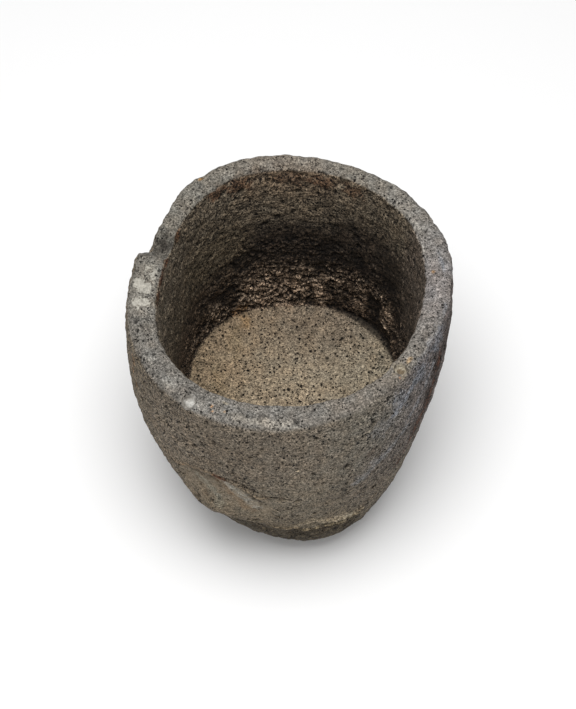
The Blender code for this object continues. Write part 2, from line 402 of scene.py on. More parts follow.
# Pits: how many, radius, depth as a share of it, and weight in each zone.
PITS = (
    # count, smallest and largest radius, depth share, (outer, rim, inner, floor) weights
    (5200, 0.0008, 0.0014, 0.85, (1.0, 0.9, 1.0, 0.8)),
    (860, 0.0014, 0.0023, 0.80, (0.5, 0.4, 2.6, 0.12)),
    (130, 0.0022, 0.0036, 0.60, (0.30, 0.1, 3.2, 0.0)),
)


def dig_pits(at, seed):
    """Depth in metres of the pits at each point, and 0 to 1 for how far inside a pit it is."""
    rng = np.random.default_rng(seed)
    warped = at.points + 0.0006 * np.stack(
        [noise(at.points, 0.0022, seed + i) for i in range(3)], axis=1
    )
    tree = KDTree(len(warped))
    for i, place in enumerate(warped):
        tree.insert(place, i)
    tree.balance()
    depth = np.zeros(len(warped))
    inside = np.zeros(len(warped))
    for count, small, large, share, weights in PITS:
        chance = sum(w * zone for w, zone in zip(weights, (at.outer, at.rim, at.inner, at.floor)))
        chance = np.clip(chance * (1 + 0.8 * noise(at.points, 0.03, seed + 5)), 0, None)
        chosen = rng.choice(len(warped), size=count, replace=False, p=chance / chance.sum())
        sizes = small + (large - small) * rng.random(count) ** 2
        for index, size in zip(chosen, sizes):
            for _, i, away in tree.find_range(warped[index], size):
                bowl = 1 - (away / size) ** 2
                bowl = min(1.0, 1.6 * bowl)
                depth[i] = max(depth[i], bowl * size * share)
                inside[i] = max(inside[i], bowl)
    return depth, inside


# ---------------------------------------------------------------- the stone's colours


def linear(colour):
    """Linear light from 0 to 255 display values."""
    c = np.asarray(colour, float) / 255
    return np.where(c < 0.04045, c / 12.92, ((c + 0.055) / 1.055) ** 2.4)


# Colours of the bare stone at stations on each zone. Rim: bearing. Walls: bearing and height.
# Floor: X and Y.
RIM_STATIONS = (
    (0, (115, 110, 108)), (30, (114, 110, 104)), (60, (112, 108, 100)), (90, (114, 106, 96)),
    (125, (108, 104, 96)), (150, (100, 96, 88)), (180, (106, 102, 95)), (225, (104, 100, 94)),
    (265, (108, 104, 98)), (300, (108, 102, 94)), (330, (110, 105, 98)),
)
OUTER_STATIONS = (
    (270, 0.200, (110, 100, 87)), (270, 0.130, (108, 99, 85)), (275, 0.060, (96, 86, 70)),
    (235, 0.200, (105, 95, 82)), (238, 0.120, (106, 95, 80)), (235, 0.060, (92, 83, 68)),
    (195, 0.200, (100, 90, 75)), (195, 0.100, (96, 88, 74)), (150, 0.150, (100, 90, 78)),
    (90, 0.150, (100, 90, 80)), (30, 0.150, (96, 90, 82)), (345, 0.170, (82, 73, 68)),
    (325, 0.200, (96, 90, 88)), (318, 0.150, (92, 85, 80)), (305, 0.110, (97, 88, 76)),
    (300, 0.200, (106, 100, 89)), (330, 0.080, (88, 80, 68)), (0, 0.060, (90, 83, 72)),
)
INNER_STATIONS = (
    (90, 0.225, (104, 90, 74)), (90, 0.195, (100, 90, 76)), (90, 0.160, (46, 38, 31)),
    (90, 0.135, (34, 27, 21)), (95, 0.100, (104, 88, 73)), (130, 0.210, (100, 90, 76)),
    (130, 0.160, (90, 80, 65)), (130, 0.115, (66, 55, 44)), (170, 0.210, (104, 94, 80)),
    (170, 0.150, (92, 82, 68)), (165, 0.100, (76, 64, 52)), (220, 0.150, (84, 75, 62)),
    (270, 0.200, (96, 87, 74)), (270, 0.110, (84, 72, 58)), (50, 0.215, (98, 88, 74)),
    (50, 0.165, (54, 46, 38)), (45, 0.130, (34, 27, 21)), (45, 0.090, (62, 50, 39)),
    (10, 0.210, (90, 80, 70)), (10, 0.150, (80, 70, 60)), (10, 0.095, (50, 41, 33)),
    (320, 0.150, (84, 75, 64)),
)
FLOOR_STATIONS = (
    (0.000, 0.000, (153, 138, 117)), (0.000, 0.050, (150, 137, 117)), (0.030, 0.080, (122, 110, 95)),
    (-0.040, 0.075, (138, 120, 97)), (-0.060, 0.030, (138, 121, 98)), (0.060, 0.030, (148, 136, 116)),
    (-0.050, -0.040, (146, 129, 103)), (0.060, -0.040, (150, 134, 112)), (0.005, 0.092, (126, 110, 92)),
)

# The reach at which each zone's stations lie, and how far a station's colour spreads.
RIM_STATION_REACH, RIM_SPREAD = 0.120, 0.030
OUTER_STATION_REACH, OUTER_SPREAD = 0.126, 0.026
INNER_STATION_REACH, INNER_SPREAD = 0.100, 0.015
FLOOR_SPREAD = 0.026

# Painted shade with some dark dirt on the notch's steep side: its middle and its spread.
NOTCH_FACE = np.array([-0.0995, 0.0488, 0.2350])
NOTCH_SPREAD = np.array([0.0100, 0.0058, 0.0060])

# Stains and darker patches on the cavity's floor: X, Y, half sizes, colour, strength.
FLOOR_MARKS = (
    (-0.038, 0.082, 0.0060, 0.0070, (152, 116, 68), 0.40),
    (-0.046, 0.062, 0.0060, 0.0160, (140, 120, 88), 0.35),
    (-0.060, 0.020, 0.0070, 0.0200, (136, 118, 90), 0.35),
    # Two darker patches at the back right of the floor.
    (0.014, 0.072, 0.0110, 0.0120, (96, 84, 70), 0.40),
    (0.034, 0.064, 0.0140, 0.0070, (98, 86, 72), 0.35),
    (0.000, 0.020, 0.0240, 0.0200, (154, 138, 114), 0.30),
)

# Soot colour, also used as painted shade in the floor groove, under the scar's edge, below the broken
# edge and on the notch's steep side.
SOOT_AND_SHADE = linear((24, 19, 15))
BROWN = linear((78, 64, 50))
CREST = linear((196, 172, 148))
TAN = linear((128, 116, 98))
LIP = linear((140, 116, 86))
CREAM = linear((176, 164, 142))


def blend_stations(places, stations, width):
    """Colour at each place, from the stations near it."""
    spots = np.array([spot for spot, _ in stations])
    colours = np.array([linear(colour) for _, colour in stations])
    away = ((places[:, None, :] - spots[None, :, :]) ** 2).sum(axis=2)
    weight = np.exp(-away / (2 * width**2)) + 1e-9
    return weight @ colours / weight.sum(axis=1)[:, None]


def on_wall(stations, radius):
    """Wall stations as points in space."""
    return [
        (
            (radius * math.cos(math.radians(b)), radius * math.sin(math.radians(b)), z),
            colour,
        )
        for b, z, colour in stations
    ]


# Marks on the stone: bearing, reach or height, half sizes across and along, colour and strength.
# On the rim the second number is the reach, on the walls the height.
RIM_MARKS = (
    (125, 0.122, 0.0022, 0.0012, (176, 138, 86), 0.8),
    (6, 0.112, 0.0014, 0.0014, (160, 124, 80), 0.7),
    (242, 0.122, 0.0009, 0.0012, (160, 116, 70), 0.7),
    (243, 0.125, 0.0009, 0.0009, (160, 116, 70), 0.7),
    (247, 0.122, 0.0010, 0.0010, (150, 118, 80), 0.7),
    (246, 0.115, 0.0026, 0.0010, (150, 138, 116), 0.6),
    (323, 0.113, 0.0038, 0.0018, (150, 126, 94), 0.65),
    (316, 0.119, 0.0014, 0.0020, (156, 146, 126), 0.7),
    (315, 0.117, 0.0008, 0.0008, (160, 106, 58), 0.7),
    (318, 0.112, 0.0070, 0.0064, (138, 128, 110), 0.45),
    (238, 0.127, 0.0080, 0.0046, (140, 137, 131), 0.6),
    (266, 0.123, 0.0170, 0.0044, (140, 134, 124), 0.60),
    (254, 0.123, 0.0150, 0.0034, (132, 126, 116), 0.45),
    (41, 0.112, 0.0140, 0.0044, (132, 126, 116), 0.45),
    (9, 0.120, 0.0110, 0.0016, (124, 128, 134), 0.40),
    (173, 0.109, 0.0090, 0.0070, (132, 127, 117), 0.50),
    (181, 0.113, 0.0090, 0.0080, (134, 129, 119), 0.55),
    (188, 0.113, 0.0080, 0.0080, (134, 129, 119), 0.50),
    (333, 0.120, 0.0200, 0.0040, (118, 120, 124), 0.55),
    (28, 0.114, 0.0080, 0.0030, (146, 141, 132), 0.45),
    (18, 0.109, 0.0050, 0.0020, (150, 146, 138), 0.45),
    (350, 0.121, 0.0060, 0.0020, (126, 128, 133), 0.45),
    (212, 0.123, 0.0070, 0.0030, (136, 133, 126), 0.50),
    (224, 0.125, 0.0080, 0.0030, (134, 131, 124), 0.50),
    (140, 0.117, 0.0070, 0.0030, (128, 124, 116), 0.45),
    (260, 0.127, 0.0040, 0.0008, (50, 46, 42), 0.60),
)
WALL_MARKS = (
    (150, 0.234, 0.0044, 0.0066, (70, 46, 28), 0.9, "inner"),
    (165, 0.235, 0.0030, 0.0070, (88, 54, 34), 0.85, "inner"),
    (174, 0.234, 0.0090, 0.0050, (84, 54, 36), 0.80, "inner"),
    (184, 0.232, 0.0090, 0.0046, (80, 52, 34), 0.75, "inner"),
    (122, 0.233, 0.0100, 0.0060, (84, 54, 34), 0.6, "inner"),
    (112, 0.229, 0.0120, 0.0080, (76, 50, 32), 0.65, "inner"),
    (88, 0.229, 0.0180, 0.0070, (74, 52, 36), 0.55, "inner"),
    (76, 0.229, 0.0100, 0.0060, (78, 52, 34), 0.6, "inner"),
    (62, 0.228, 0.0110, 0.0080, (78, 54, 36), 0.55, "inner"),
    (205, 0.220, 0.0060, 0.0060, (128, 98, 68), 0.45, "outer"),
    (204, 0.204, 0.0030, 0.0080, (140, 104, 68), 0.6, "outer"),
    (208, 0.196, 0.0024, 0.0060, (136, 100, 66), 0.5, "outer"),
    (298, 0.207, 0.0034, 0.0020, (156, 146, 128), 0.7, "outer"),
    (294, 0.207, 0.0024, 0.0016, (158, 150, 134), 0.7, "outer"),
    (290, 0.218, 0.0014, 0.0014, (156, 148, 132), 0.7, "outer"),
    (273, 0.186, 0.0012, 0.0012, (160, 144, 118), 0.7, "outer"),
    (247, 0.159, 0.0050, 0.0030, (72, 46, 32), 0.85, "outer"),
    (252, 0.154, 0.0070, 0.0014, (66, 46, 34), 0.6, "outer"),
    (254, 0.142, 0.0090, 0.0050, (132, 126, 114), 0.55, "outer"),
    (259, 0.128, 0.0060, 0.0060, (128, 120, 106), 0.50, "outer"),
    (268, 0.142, 0.0120, 0.0010, (46, 40, 34), 0.6, "outer"),
    (283, 0.130, 0.0160, 0.0012, (58, 50, 42), 0.5, "outer"),
    (338, 0.195, 0.0100, 0.0280, (44, 32, 25), 0.95, "outer"),
    (331, 0.170, 0.0090, 0.0260, (42, 31, 24), 0.95, "outer"),
    (323, 0.148, 0.0100, 0.0200, (54, 41, 32), 0.75, "outer"),
    (347, 0.208, 0.0120, 0.0200, (52, 41, 34), 0.8, "outer"),
    # These four bluish-grey patches high on the right side: partly bluish-grey stone, partly painted
    # highlight.
    (314, 0.216, 0.0110, 0.0120, (108, 110, 115), 0.55, "outer"),
    (325, 0.222, 0.0110, 0.0110, (106, 109, 115), 0.60, "outer"),
    (338, 0.229, 0.0140, 0.0090, (108, 111, 117), 0.60, "outer"),
    (304, 0.200, 0.0120, 0.0100, (100, 101, 104), 0.40, "outer"),
    # These three grey patches lower on the right side: partly grey stone, partly painted highlight.
    (306, 0.162, 0.0080, 0.0050, (116, 114, 114), 0.55, "outer"),
    (301, 0.159, 0.0070, 0.0060, (112, 110, 109), 0.50, "outer"),
    (296, 0.148, 0.0060, 0.0060, (108, 106, 104), 0.45, "outer"),
    (300, 0.176, 0.0080, 0.0060, (66, 52, 42), 0.45, "outer"),
    (312, 0.132, 0.0080, 0.0080, (62, 50, 40), 0.45, "outer"),
    (118, 0.074, 0.0060, 0.0060, (128, 94, 56), 0.4, "inner"),
)


def towards(colour, goal, strength):
    """The colour taken towards a linear goal by the strength at each point."""
    return colour + (goal - colour) * strength[:, None]


def paint(colour, strength, mark):
    """Lays a mark over the colour by its strength at each point."""
    return towards(colour, linear(mark), strength)


def stone_colour(at, marks, pit):
    """Linear base colour at each point of the stone."""
    p = at.points
    centred = p - np.array([*RIM_CENTRE, 0])
    ring = centred.copy()
    ring[:, 2] = 0
    rim = blend_stations(
        ring / np.maximum(at.reach, 1e-6)[:, None] * RIM_STATION_REACH,
        on_wall([(bearing, 0, colour) for bearing, colour in RIM_STATIONS], RIM_STATION_REACH),
        RIM_SPREAD,
    )
    outer = blend_stations(centred, on_wall(OUTER_STATIONS, OUTER_STATION_REACH), OUTER_SPREAD)
    inner = blend_stations(centred, on_wall(INNER_STATIONS, INNER_STATION_REACH), INNER_SPREAD)
    floor = blend_stations(p[:, :2], [((x, y), c) for x, y, c in FLOOR_STATIONS], FLOOR_SPREAD)

    for x, y, wide, deep, mark, strength in FLOOR_MARKS:
        away = np.hypot((p[:, 0] - x) / wide, (p[:, 1] - y) / deep)
        stain = 1 - step(away + 0.6 * layers(p, 0.006, 96, 2), 0.3, 1.4)
        floor = paint(floor, stain * strength, mark)

    ledge_light = step(marks["ledges"], -0.6, 0.9)
    inner = inner * (0.72 + 0.56 * ledge_light)[:, None]
    band = marks["band"]
    light = 0.09 + (around(at.bearing, BAND_LIGHT) - 0.09) * marks["low_band"]
    lit = band * light * (0.22 + 0.60 * step(noise(p, 0.006, 61), -0.3, 0.6))
    inner = towards(inner, CREST, lit * marks["crests"])
    inner = towards(inner, SOOT_AND_SHADE, band * marks["hollows"] * 0.8)

    outer = towards(outer, TAN, marks["scar"] * (0.50 + 0.30 * noise(p, 0.014, 62)))
    # Below the broken edge the stone is darkened: painted shade under the edge, with darker broken
    # stone.
    dark = marks["dark_foot"] * (0.42 + 0.6 * noise(p, 0.006, 63))
    outer = towards(outer, SOOT_AND_SHADE, dark.clip(0, 0.9))
    chalky = marks["break_lip"] * step(turn_between(at.bearing, 284), -12, 0)
    outer = towards(outer, CREAM, chalky * 0.8)
    outer = towards(outer, LIP, 0.25 * marks["scar_lip"])
    # Painted shadow: a dark broken line just under the scar's upper edge, where the stone above
    # overhangs.
    shaded = marks["below_scar"] * step(noise(p, 0.010, 64), -0.5, 0.3)
    outer = towards(outer, SOOT_AND_SHADE, 0.75 * shaded)
    # Painted shade: the outer wall is darkened towards the foot, except on the broken lip.
    outer *= (1 - 0.42 * (1 - step(at.height, 0.015, 0.085)) * (1 - marks["break_lip"]))[:, None]
    cloudy = 1 + 0.10 * marks["strokes"] + 0.07 * noise(p, 0.050, 93) + 0.05 * noise(p, 0.011, 94)
    outer *= cloudy[:, None]

    for bearing, level, across, high, mark, strength, side in WALL_MARKS:
        width = np.radians(turn_between(at.bearing, bearing)) * at.reach
        away = np.hypot(width / across, (at.height - level) / high)
        blot = (1 - step(away + 0.7 * layers(p, 0.0045, 65, 2), 0.5, 1.2)) * strength
        if side == "inner":
            inner = paint(inner, blot, mark)
        else:
            outer = paint(outer, blot, mark)
    for (_, _, mark, strength, _), near in zip(WALL_LINES, marks["lines"]):
        patchy = step(layers(p, 0.006, 95, 2), -0.7, 0.25)
        outer = paint(outer, near * strength * patchy, mark)
    for bearing, reach, along_rim, across, mark, strength in RIM_MARKS:
        width = np.radians(turn_between(at.bearing, bearing)) * at.reach
        away = np.hypot(width / along_rim, (at.reach - reach) / across)
        ragged = min(0.9, 0.35 + 40 * min(along_rim, across)) * layers(p, 0.0040, 66, 2)
        rim = paint(rim, (1 - step(away + ragged, 0.5, 1.3)) * strength, mark)

    zones = np.stack([at.rim, at.outer, at.inner, at.floor, at.under], axis=1)
    zones /= np.maximum(zones.sum(axis=1), 1e-6)[:, None]
    colour = (
        rim * zones[:, 0:1] + outer * (zones[:, 1:2] + zones[:, 4:5])
        + inner * zones[:, 2:3] + floor * zones[:, 3:4]
    )
    # Painted shade: the groove where the cavity's floor meets its wall is darkened.
    colour = towards(colour, SOOT_AND_SHADE, (marks["groove"] ** 2 * 0.55).clip(0, 0.85))
    worn = bell(turn_between(at.bearing, 88), 40) * marks["bevel"]
    worn = 0.42 * worn * step(noise(p, 0.006, 68), -0.5, 0.4)
    colour = towards(colour, BROWN, worn.clip(0, 1))
    # Painted shade with some dark dirt on the notch's steep side.
    notch = bell(np.linalg.norm((p - NOTCH_FACE) / NOTCH_SPREAD, axis=1), 1.0)
    colour = towards(colour, SOOT_AND_SHADE, 0.85 * notch * step(noise(p, 0.004, 67) + notch, 0.0, 0.8))
    mottle = 1 + 0.09 * noise(p, 0.018, 71) + 0.07 * noise(p, 0.0070, 72)
    mottle += 0.05 * noise(p, 0.0026, 73) + 0.04 * marks["grain"]
    colour = colour * mottle[:, None]
    warm = 1 + 0.04 * noise(p, 0.009, 74)[:, None] * np.array([1, 0, -1])
    return np.clip(colour * warm * (1 - 0.74 * pit)[:, None], 0.002, 0.9)


# ---------------------------------------------------------------- materials


class Nodes:
    """Short calls to build a material's nodes."""

    def __init__(self, name):
        self.material = bpy.data.materials.new(name)
        self.material.use_nodes = True
        self.tree = self.material.node_tree
        self.shader = self.tree.nodes["Principled BSDF"]

    def add(self, kind, inputs=(), **settings):
        node = self.tree.nodes.new(kind)
        for key, value in settings.items():
            setattr(node, key, value)
        for key, value in dict(inputs).items():
            if isinstance(value, bpy.types.NodeSocket):
                self.tree.links.new(value, node.inputs[key])
            else:
                node.inputs[key].default_value = value
        return node

    def math(self, operation, first, second=0.0, clamp=False):
        return self.add(
            "ShaderNodeMath", {0: first, 1: second}, operation=operation, use_clamp=clamp
        ).outputs[0]

    def remap(self, value, low, high, to_low, to_high):
        return self.add(
            "ShaderNodeMapRange",
            {"Value": value, "From Min": low, "From Max": high, "To Min": to_low, "To Max": to_high},
            interpolation_type="SMOOTHSTEP",
        ).outputs["Result"]

    def mix(self, share, first, second, blend="MIX"):
        node = self.add("ShaderNodeMix", data_type="RGBA", blend_type=blend)
        sockets = [s for s in node.inputs if s.enabled]
        for socket, value in zip(sockets, (share, first, second)):
            if isinstance(value, bpy.types.NodeSocket):
                self.tree.links.new(value, socket)
            else:
                socket.default_value = value
        return next(s for s in node.outputs if s.enabled)

    def link(self, value, key):
        self.tree.links.new(value, self.shader.inputs[key])


def warped_place(n, cell, amount):
    """Object coordinates pushed about by noise, so that round cells come out ragged."""
    place = n.add("ShaderNodeTexCoord").outputs["Object"]
    push = n.add("ShaderNodeTexNoise", {"Vector": place, "Scale": 1 / cell, "Detail": 1.0})
    offset = n.add(
        "ShaderNodeVectorMath",
        {0: push.outputs["Color"], 1: (0.5, 0.5, 0.5)},
        operation="SUBTRACT",
    ).outputs[0]
    scaled = n.add("ShaderNodeVectorMath", {0: offset, "Scale": amount}, operation="SCALE").outputs[0]
    return place, n.add("ShaderNodeVectorMath", {0: place, 1: scaled}, operation="ADD").outputs[0]


def pores(n, place, cell, smallest, largest, share, scale=1.0):
    """1 in a pore and 0 outside, for pores in this share of the cells."""
    cells = n.add("ShaderNodeTexVoronoi", {"Vector": place, "Scale": 1 / cell, "Randomness": 1.0})
    random = n.add("ShaderNodeSeparateColor", {"Color": cells.outputs["Color"]})
    size = n.remap(random.outputs["Red"], 0.0, 1.0, smallest, largest)
    there = n.math("LESS_THAN", random.outputs["Green"], share)
    size = n.math("MULTIPLY", n.math("MULTIPLY", size, there), scale)
    edge = n.math("DIVIDE", cells.outputs["Distance"], n.math("MAXIMUM", size, 0.001))
    return n.remap(edge, 0.82, 1.06, 1.0, 0.0)


def stone_material():
    n = Nodes("volcanic_stone_pitted")
    place, ragged = warped_place(n, 0.0020, 0.0016)
    base = n.add("ShaderNodeAttribute", attribute_name="stone_colour").outputs["Color"]
    grit = n.add("ShaderNodeAttribute", attribute_name="grit").outputs["Fac"]

    porous = n.add("ShaderNodeAttribute", attribute_name="porous").outputs["Fac"]
    fine = n.add(
        "ShaderNodeTexNoise", {"Vector": place, "Scale": 1000.0, "Detail": 1.0, "Roughness": 0.5}
    ).outputs["Fac"]
    value = n.remap(fine, 0.34, 0.66, 0.80, 1.20)
    for cell, half in ((0.00085, 0.50), (0.00150, 0.38)):
        crystals = n.add("ShaderNodeTexVoronoi", {"Vector": ragged, "Scale": 1 / cell})
        tone = n.add("ShaderNodeSeparateColor", {"Color": crystals.outputs["Color"]}).outputs["Red"]
        tone = n.math("ADD", n.math("MULTIPLY", tone, 2 * half), 1 - half)
        value = n.math("MULTIPLY", value, tone)
    value = n.math("ADD", n.math("MULTIPLY", n.math("SUBTRACT", value, 1.0), grit), 1.0)
    value = n.math("MAXIMUM", value, 0.12)

    tiny = pores(n, ragged, 0.0020, 0.14, 0.34, 0.55, porous)
    small = pores(n, ragged, 0.0038, 0.10, 0.25, 0.80, porous)
    large = pores(n, ragged, 0.0105, 0.05, 0.12, 0.70, porous)
    holes = n.math("MAXIMUM", tiny, n.math("MAXIMUM", small, large))
    value = n.math("MULTIPLY", value, n.math("SUBTRACT", 1.0, n.math("MULTIPLY", holes, 0.94)))

    flecks = pores(n, place, 0.0030, 0.08, 0.19, 0.30, porous)
    lit = n.mix(1.0, base, value, "MULTIPLY")
    bright = n.mix(1.0, base, (2.5, 2.5, 2.5, 1.0), "MULTIPLY")
    n.link(n.mix(n.math("MULTIPLY", flecks, 0.75), lit, bright), "Base Color")

    medium = n.add("ShaderNodeTexNoise", {"Vector": place, "Scale": 380.0, "Detail": 2.0}).outputs["Fac"]
    height = n.math("ADD", n.math("MULTIPLY", fine, 0.25), n.math("MULTIPLY", medium, 0.7))
    height = n.math("SUBTRACT", height, n.math("MULTIPLY", holes, 0.9))
    bump = n.add("ShaderNodeBump", {"Height": height, "Strength": 0.9, "Distance": 0.0010})
    n.link(bump.outputs["Normal"], "Normal")
    n.link(n.remap(fine, 0.3, 0.7, 0.98, 0.82), "Roughness")
    n.shader.inputs["Specular IOR Level"].default_value = 0.25
    return n.material


def mineral_material(name, cell, roughness):
    """A chalky or glassy mineral in the colours painted on the mesh, with grain and fine pores."""
    n = Nodes(name)
    place, ragged = warped_place(n, cell, cell * 0.6)
    base = n.add("ShaderNodeAttribute", attribute_name="mineral_colour").outputs["Color"]
    cloud = n.add(
        "ShaderNodeTexNoise",
        {"Vector": place, "Scale": 1 / cell, "Detail": 4.0, "Roughness": 0.65},
    )
    fine = n.add("ShaderNodeTexNoise", {"Vector": place, "Scale": 2.5 / cell, "Detail": 2.0})
    holes = pores(n, ragged, cell * 0.9, 0.10, 0.26, 0.35)
    grain = n.remap(fine.outputs["Fac"], 0.3, 0.7, 0.80, 1.18)
    clouds = n.remap(cloud.outputs["Fac"], 0.34, 0.66, 0.78, 1.15)
    shade = n.math("MULTIPLY", grain, clouds)
    shade = n.math("SUBTRACT", shade, n.math("MULTIPLY", holes, 0.45))
    n.link(n.mix(1.0, base, shade, "MULTIPLY"), "Base Color")
    height = n.math("SUBTRACT", cloud.outputs["Fac"], holes)
    bump = n.add("ShaderNodeBump", {"Height": height, "Strength": 0.5, "Distance": 0.0005})
    n.link(bump.outputs["Normal"], "Normal")
    n.shader.inputs["Roughness"].default_value = roughness
    return n.material


# ---------------------------------------------------------------- build the stone


def set_colour(mesh, name, values):
    attribute = mesh.color_attributes.new(name, "FLOAT_COLOR", "POINT")
    rgba = np.ones((len(values), 4), np.float32)
    rgba[:, :3] = values
    attribute.data.foreach_set("color", rgba.ravel())


def set_value(mesh, name, values):
    attribute = mesh.attributes.new(name, "FLOAT", "POINT")
    attribute.data.foreach_set("value", values.astype(np.float32))


def unwrap(mesh, at):
    """A UV map in five charts: walls rolled flat, and floor, rim and underside seen from above."""
    scale = 1.12
    gap = 0.012
    loops = np.zeros(len(mesh.loops), np.int32)
    mesh.loops.foreach_get("vertex_index", loops)
    starts = np.zeros(len(mesh.polygons), np.int32)
    mesh.polygons.foreach_get("loop_start", starts)
    totals = np.zeros(len(mesh.polygons), np.int32)
    mesh.polygons.foreach_get("loop_total", totals)
    face = np.repeat(np.arange(len(starts)), totals)
    zones = np.stack([at.outer, at.inner, at.rim, at.floor, at.under], axis=1)
    share = np.zeros((len(starts), 5))
    np.add.at(share, face, zones[loops])
    chart = share.argmax(axis=1)[face]
    turn = np.radians(at.bearing)[loops]
    first = turn[starts][face]
    turn = np.where(turn - first > math.pi, turn - 2 * math.pi, turn)
    turn = np.where(turn - first < -math.pi, turn + 2 * math.pi, turn)
    p = at.points[loops]
    uv = np.zeros((len(loops), 2))
    walls = {0: (0.124, 0.0, gap), 1: (0.100, 0.05, 0.32)}
    for index, (radius, low, v) in walls.items():
        here = chart == index
        uv[here] = np.stack(
            [(turn * radius + 0.02)[here], (p[:, 2] - low)[here]], axis=1
        ) * scale + (gap, v)
    discs = {2: (0.17, 0.75), 3: (0.46, 0.72), 4: (0.75, 0.72)}
    for index, middle in discs.items():
        here = chart == index
        uv[here] = (p[here, :2] - RIM_CENTRE) * scale + middle
    layer = mesh.uv_layers.new(name="OFBake")
    layer.data.foreach_set("uv", uv.astype(np.float32).ravel())


def build_stone():
    stone = fine_stone()
    mesh = stone.data
    at = Places(points_of(mesh), normals_of(mesh))
    move, marks = relief(at)
    depth, pit = dig_pits(at, 101)
    resting = step(at.height, 0.0, 0.004)
    moved = at.points + at.normals * ((move - depth) * (0.25 + 0.75 * resting))[:, None]
    moved = carve_notch(at, moved)
    moved[:, 2] = np.maximum(moved[:, 2], 0)
    unwrap(mesh, at)
    mesh.vertices.foreach_set("co", moved.astype(np.float32).ravel())
    set_colour(mesh, "stone_colour", stone_colour(at, marks, pit))
    grit = (1.15 + 0.50 * marks["sides"]) * at.outer + 1.05 * at.rim
    grit += (1.9 + 0.7 * marks["band"]) * at.inner + 1.05 * at.floor + 1.1 * at.under
    grit *= 1 - 0.45 * marks["scar"]
    set_value(mesh, "grit", np.clip(grit * (1 + 0.2 * noise(at.points, 0.02, 81)), 0.4, 3.0))
    porous = 1.05 * at.outer + 0.95 * at.rim + 1.1 * at.inner + 1.15 * at.floor + 0.9 * at.under
    porous *= 1 - 0.4 * marks["scar"]
    set_value(mesh, "porous", np.clip(porous * (1 + 0.3 * layers(at.points, 0.024, 82, 2)), 0.3, 1.6))
    mesh.update()
    mesh.shade_smooth()
    mesh.materials.append(stone_material())
    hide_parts("stone_vessel")
    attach(stone, "root")
    return stone


# ---------------------------------------------------------------- crusts and pebbles


def tree_of(shape):
    bpy.context.view_layer.update()
    return BVHTree.FromObject(shape, bpy.context.evaluated_depsgraph_get())


def drop(tree, x, y):
    """The height of the stone's surface at this point of the plan."""
    hit = tree.ray_cast(Vector((x, y, TOP + 0.05)), Vector((0, 0, -1)))[0]
    return hit.z if hit else TOP - 0.01


# Each crust as soft ovals in the plan: centre X and Y, half sizes, weight. Weights below 0 are holes.
CRUSTS = {
    "lime_crust_upper": (
        (-0.1072, 0.0210, 0.0058, 0.0046, 0.75), (-0.1045, 0.0150, 0.0034, 0.0060, 0.62),
        (-0.1075, 0.0205, 0.0026, 0.0018, -0.65), (-0.1100, 0.0250, 0.0030, 0.0014, 0.35),
    ),
    "lime_crust_middle": (
        (-0.1150, 0.0090, 0.0058, 0.0062, 1.0), (-0.1080, 0.0070, 0.0042, 0.0040, 0.75),
        (-0.1098, 0.0010, 0.0060, 0.0024, 0.75), (-0.1175, 0.0125, 0.0024, 0.0018, 0.5),
        (-0.1130, 0.0045, 0.0060, 0.0036, 0.70),
        (-0.1165, 0.0040, 0.0020, 0.0012, -0.5),
    ),
    "lime_crust_lower": (
        (-0.1140, -0.0070, 0.0068, 0.0042, 1.05), (-0.1165, -0.0105, 0.0040, 0.0034, 0.8),
        (-0.1152, -0.0145, 0.0018, 0.0028, 0.7), (-0.1090, -0.0085, 0.0036, 0.0030, 0.6),
        (-0.1155, -0.0112, 0.0008, 0.0007, -1.2),
    ),
}
CRUST_CELL = 0.00030
CRUST_THICK = 0.0007
CRUST_SUNK = 0.0006
THIN_LIME = linear((124, 119, 109))
THICK_LIME = linear((160, 156, 146))


